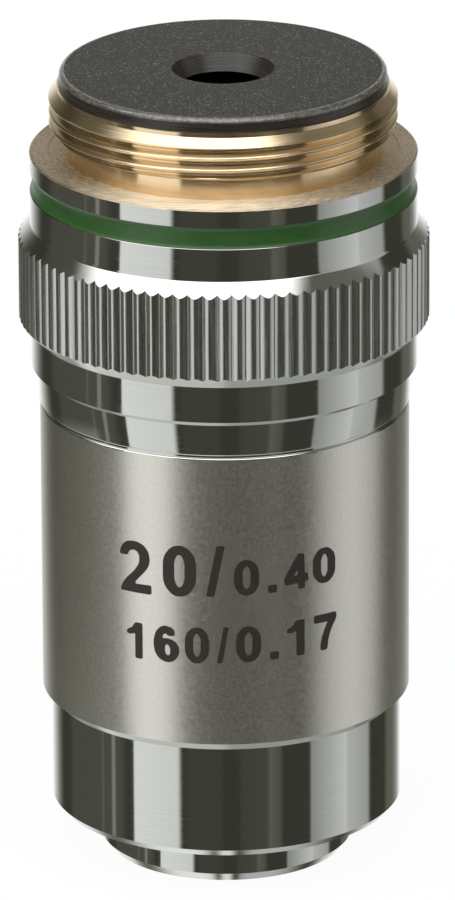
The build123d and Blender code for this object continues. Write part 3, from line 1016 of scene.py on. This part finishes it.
class OBJECTIVE_OT_spring(bpy.types.Operator):
    """Wind the spring at one length; in the objective it shortens against the rear cap as the nose slides
    in
    """

    bl_idname = "objective.spring"
    bl_label = "Spring"

    STEPS_PER_TURN = 64

    def execute(self, context):
        sizes = context.scene.objective_sizes
        foot, head = node_heights("spring")
        outer = node_radius("spring")
        wire = sizes.spring_wire
        turns = sizes.spring_turns
        corners = [(outer - wire, foot), (outer, foot), (outer, foot + wire), (outer - wire, foot + wire)]
        bm = bmesh.new()
        spin_outline(bm, corners, self.STEPS_PER_TURN, turns=turns, climb=(head - foot - wire) / turns)
        bmesh.ops.holes_fill(bm, edges=bm.edges, sides=len(corners))
        steel = [drawn_steel(context.scene.objective_finishes)]
        spring = finish_piece(bm, "spring_wound", FIXED_BODY, steel, ["spring"])
        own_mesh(spring)
        return {"FINISHED"}


class OBJECTIVE_OT_inner_pieces(bpy.types.Operator):
    """Give the pieces inside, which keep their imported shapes, their finishes"""

    bl_idname = "objective.inner_pieces"
    bl_label = "Inner pieces"

    BRASS = ("focus_shim",)
    STEEL = ("guide_pin",)
    BLACK = ("lens_barrel", "front_spacer", "front_pair_cell", "rear_spacer", "rear_pair_cell", "lock_ring")
    CROWN = ("front_lens", "front_crown", "rear_crown")
    FLINT = ("front_flint", "rear_flint")
    CROWN_INDEX = 1.52
    FLINT_INDEX = 1.65

    def execute(self, context):
        colours = context.scene.objective_finishes
        finishes = (
            (self.BRASS, cut_brass(colours)),
            (self.STEEL, drawn_steel(colours)),
            (self.BLACK, bored_black(colours)),
            (self.CROWN, optical_glass("crown glass, polished", colours, self.CROWN_INDEX)),
            (self.FLINT, optical_glass("flint glass, polished", colours, self.FLINT_INDEX)),
        )
        for names, made in finishes:
            for name in names:
                for place in frame["nodes"][name].material_slots:
                    place.material = made
        return {"FINISHED"}


class OBJECTIVE_OT_stage(bpy.types.Operator):
    """Set up the pale floor, the soft studio light and the camera"""

    bl_idname = "objective.stage"
    bl_label = "Studio stage"

    FLOOR_RADIUS = 0.6
    FLOOR_SIDES = 96
    FLOOR_WHITE = 0.95
    # Brightness and tint of the bare room, and the brightness over which that tint gives way to white
    ROOM = 0.058
    ROOM_TINT = (1.0, 0.99, 0.80)
    TINT_SPAN = {"From Min": 0.1, "From Max": 0.5}
    SENSOR = 36
    CLIP = (0.05, 20)
    # Light panels that the metal reflects, in tiers of elevation: bottom, top, softness, and then for each
    # panel its left and right edge by compass from the camera, brightness and softness at both edges
    TIERS = (
        (-120, 4, 14, (
            (-200, -154, 1.0, 1.0, 1, 36),
            (157.5, 200, 1.0, 1.0, 31, 1),
        )),
        (4, 60, 14, (
            (-200, -154, 0.45, 0.45, 1, 36),
            (157.5, 200, 0.45, 0.45, 31, 1),
        )),
        (-38, 32, 12, (
            (-125, -72, 0.04, 0.05, 10, 8),
            (-91, -89, 0.05, 0.05, 1, 1),
            (-82, -79, 0.20, 0.20, 1, 1),
            (-64, -31, 1.0, 0.88, 1, 4),
            (-26, -3, 0.018, 0.015, 4, 4),
            (9, 28, 0.02, 0.035, 4, 3),
            (28, 37, 0.11, 0.05, 3, 3),
            (57.5, 87, 0.32, 0.76, 2, 1.5),
            (87, 109.5, 0.62, 0.42, 1.5, 5),
            (132, 150, 0.10, 0.10, 8, 8),
        )),
        (32, 120, 12, (
            (-160, -95, 0.08, 0.08, 10, 24),
            (57, 130, 0.08, 0.20, 16, 20),
        )),
        (24, 120, 12, (
            (-94, 54, 2.25, 2.25, 24, 22),
        )),
        (68, 120, 16, (
            (-200, -95, 1.6, 1.6, 1, 20),
            (54, 200, 1.6, 1.6, 16, 1),
        )),
        (-44, -28, 10, (
            (-160, -88, 0.45, 0.45, 20, 10),
            (105, 160, 0.30, 0.30, 10, 20),
        )),
        (-120, -42, 8, (
            (-135, 0, 1.15, 1.0, 20, 20),
            (0, 135, 0.65, 0.60, 20, 20),
        )),
    )

    def execute(self, context):
        context.scene.view_settings.view_transform = "Standard"
        self.add_floor(context)
        self.add_world(context)
        self.add_camera(context)
        return {"FINISHED"}

    def add_floor(self, context):
        """A pale round floor that the camera sees as white, with the object's shadow on it."""
        bm = bmesh.new()
        bmesh.ops.create_circle(bm, cap_ends=True, segments=self.FLOOR_SIDES, radius=self.FLOOR_RADIUS)
        mesh = bpy.data.meshes.new("studio_floor")
        bm.to_mesh(mesh)
        bm.free()
        floor = bpy.data.objects.new("studio_floor", mesh)
        context.collection.objects.link(floor)
        floor.visible_glossy = False
        floor.visible_diffuse = False
        made, tree = start_material("studio floor, matt white board")
        camera_ray = add_node(tree, "LightPath", output="Is Camera Ray")
        seen = add_node(tree, "Math", {0: camera_ray, 1: self.FLOOR_WHITE}, operation="MULTIPLY")
        matt = add_node(tree, "BsdfDiffuse", {"Color": (*context.scene.objective_finishes.floor, 1)})
        white = add_node(tree, "Emission", {"Color": (1, 1, 1, 1), "Strength": 1.0})
        mixed = add_node(tree, "MixShader", {0: seen, 1: matt, 2: white})
        add_node(tree, "OutputMaterial", {"Surface": mixed})
        mesh.materials.append(made)

    def add_world(self, context):
        """A white studio with a dark side behind the camera, which the metal reflects."""
        world = bpy.data.worlds.new("studio")
        context.scene.world = world
        world.use_nodes = True
        world.cycles.sampling_method = "NONE"
        tree = world.node_tree
        tree.nodes.clear()
        ray = add_node(tree, "TexCoord", output="Generated")
        parts = add_node(tree, "SeparateXYZ", {0: ray}).node.outputs
        ahead = add_node(tree, "Math", {0: parts["Y"], 1: -1.0}, operation="MULTIPLY")
        compass = add_node(tree, "Math", {0: parts["X"], 1: ahead}, operation="ARCTAN2")
        climb = add_node(tree, "Math", {0: parts["Z"]}, operation="ARCSINE")
        level = self.ROOM
        for bottom, top, soft, panels in self.TIERS:
            height = self.soft_window(tree, climb, bottom, top, soft, soft)
            for left, right, first, last, soft_left, soft_right in panels:
                span = {"From Min": radians(left), "From Max": radians(right)}
                ends = {"To Min": first, "To Max": last}
                bright = add_node(tree, "MapRange", {"Value": compass, **span, **ends})
                width = self.soft_window(tree, compass, left, right, soft_left, soft_right)
                shape = add_node(tree, "Math", {0: width, 1: height}, operation="MULTIPLY")
                level = add_node(tree, "Math", {0: bright, 1: shape, 2: level}, operation="MULTIPLY_ADD")
        rays = add_node(tree, "LightPath").node.outputs
        seen = {0: rays["Is Camera Ray"], 1: rays["Is Transmission Ray"]}
        open_view = add_node(tree, "Math", seen, operation="MAXIMUM")
        level = add_node(tree, "Mix", {"Factor": open_view, "A": level, "B": 1.0}, data_type="FLOAT")
        bright = add_node(tree, "MapRange", {"Value": level, **self.TINT_SPAN})
        tints = {"Factor": bright, 6: (*self.ROOM_TINT, 1), 7: (1, 1, 1, 1)}
        tint = add_node(tree, "Mix", tints, 2, data_type="RGBA")
        light = add_node(tree, "Background", {"Color": tint, "Strength": level})
        add_node(tree, "OutputWorld", {"Surface": light})

    def soft_window(self, tree, value, start, end, soft_start, soft_end):
        """One inside an angle's two limits and nothing outside, with soft edges."""
        edges = []
        for limit, soft, before in ((start, soft_start, 0.0), (end, soft_end, 1.0)):
            span = {"From Min": radians(limit - soft / 2), "From Max": radians(limit + soft / 2)}
            step = {"Value": value, **span, "To Min": before, "To Max": 1.0 - before}
            edges.append(add_node(tree, "MapRange", step, interpolation_type="SMOOTHSTEP"))
        return add_node(tree, "Math", {0: edges[0], 1: edges[1]}, operation="MULTIPLY")

    def add_camera(self, context):
        """A long lens at the height and distance from which the objective was seen."""
        stage = context.scene.objective_stage
        view = bpy.data.cameras.new("studio_camera")
        view.sensor_width = self.SENSOR
        view.lens = stage.lens
        view.clip_start, view.clip_end = self.CLIP
        camera = bpy.data.objects.new("studio_camera", view)
        context.collection.objects.link(camera)
        aim = Vector((stage.aim_offset, 0, stage.aim_height))
        back = Vector((0, -cos(stage.elevation), sin(stage.elevation)))
        tilt = Matrix.Rotation(pi / 2 - stage.elevation, 4, "X")
        roll = Matrix.Rotation(stage.roll, 4, "Z")
        camera.matrix_world = Matrix.Translation(aim + stage.distance * back) @ tilt @ roll
        context.scene.camera = camera


class OBJECTIVE_PT_panel(bpy.types.Panel):
    """Lists the pieces and their settings"""

    bl_idname = "OBJECTIVE_PT_panel"
    bl_label = "Objective"
    bl_space_type = "VIEW_3D"
    bl_region_type = "UI"
    bl_category = "Objective"

    def draw(self, context):
        for operator in OPERATORS:
            self.layout.operator(operator.bl_idname)
        for group in GROUPS:
            box = self.layout.box()
            settings = getattr(context.scene, group)
            for name in settings.bl_rna.properties.keys():
                if name not in {"rna_type", "name"}:
                    box.prop(settings, name)


GROUPS = {
    "objective_sizes": ObjectiveSizes,
    "objective_finishes": ObjectiveFinishes,
    "objective_stage": ObjectiveStage,
}
OPERATORS = (
    OBJECTIVE_OT_mount_body,
    OBJECTIVE_OT_colour_ring,
    OBJECTIVE_OT_rear_cap,
    OBJECTIVE_OT_outer_sleeve,
    OBJECTIVE_OT_markings,
    OBJECTIVE_OT_front_collar,
    OBJECTIVE_OT_nose_cell,
    OBJECTIVE_OT_spring,
    OBJECTIVE_OT_inner_pieces,
    OBJECTIVE_OT_stage,
)


def register():
    for group, settings in GROUPS.items():
        bpy.utils.register_class(settings)
        setattr(bpy.types.Scene, group, bpy.props.PointerProperty(type=settings))
    for operator in OPERATORS:
        bpy.utils.register_class(operator)
    bpy.utils.register_class(OBJECTIVE_PT_panel)


def unregister():
    bpy.utils.unregister_class(OBJECTIVE_PT_panel)
    for operator in reversed(OPERATORS):
        bpy.utils.unregister_class(operator)
    for group, settings in GROUPS.items():
        delattr(bpy.types.Scene, group)
        bpy.utils.unregister_class(settings)


def main():
    register()
    bpy.ops.objective.mount_body()
    bpy.ops.objective.colour_ring()
    bpy.ops.objective.rear_cap()
    bpy.ops.objective.outer_sleeve()
    bpy.ops.objective.markings()
    bpy.ops.objective.front_collar()
    bpy.ops.objective.nose_cell()
    bpy.ops.objective.spring()
    bpy.ops.objective.inner_pieces()
    bpy.ops.objective.stage()


if __name__ == "__main__":
    main()
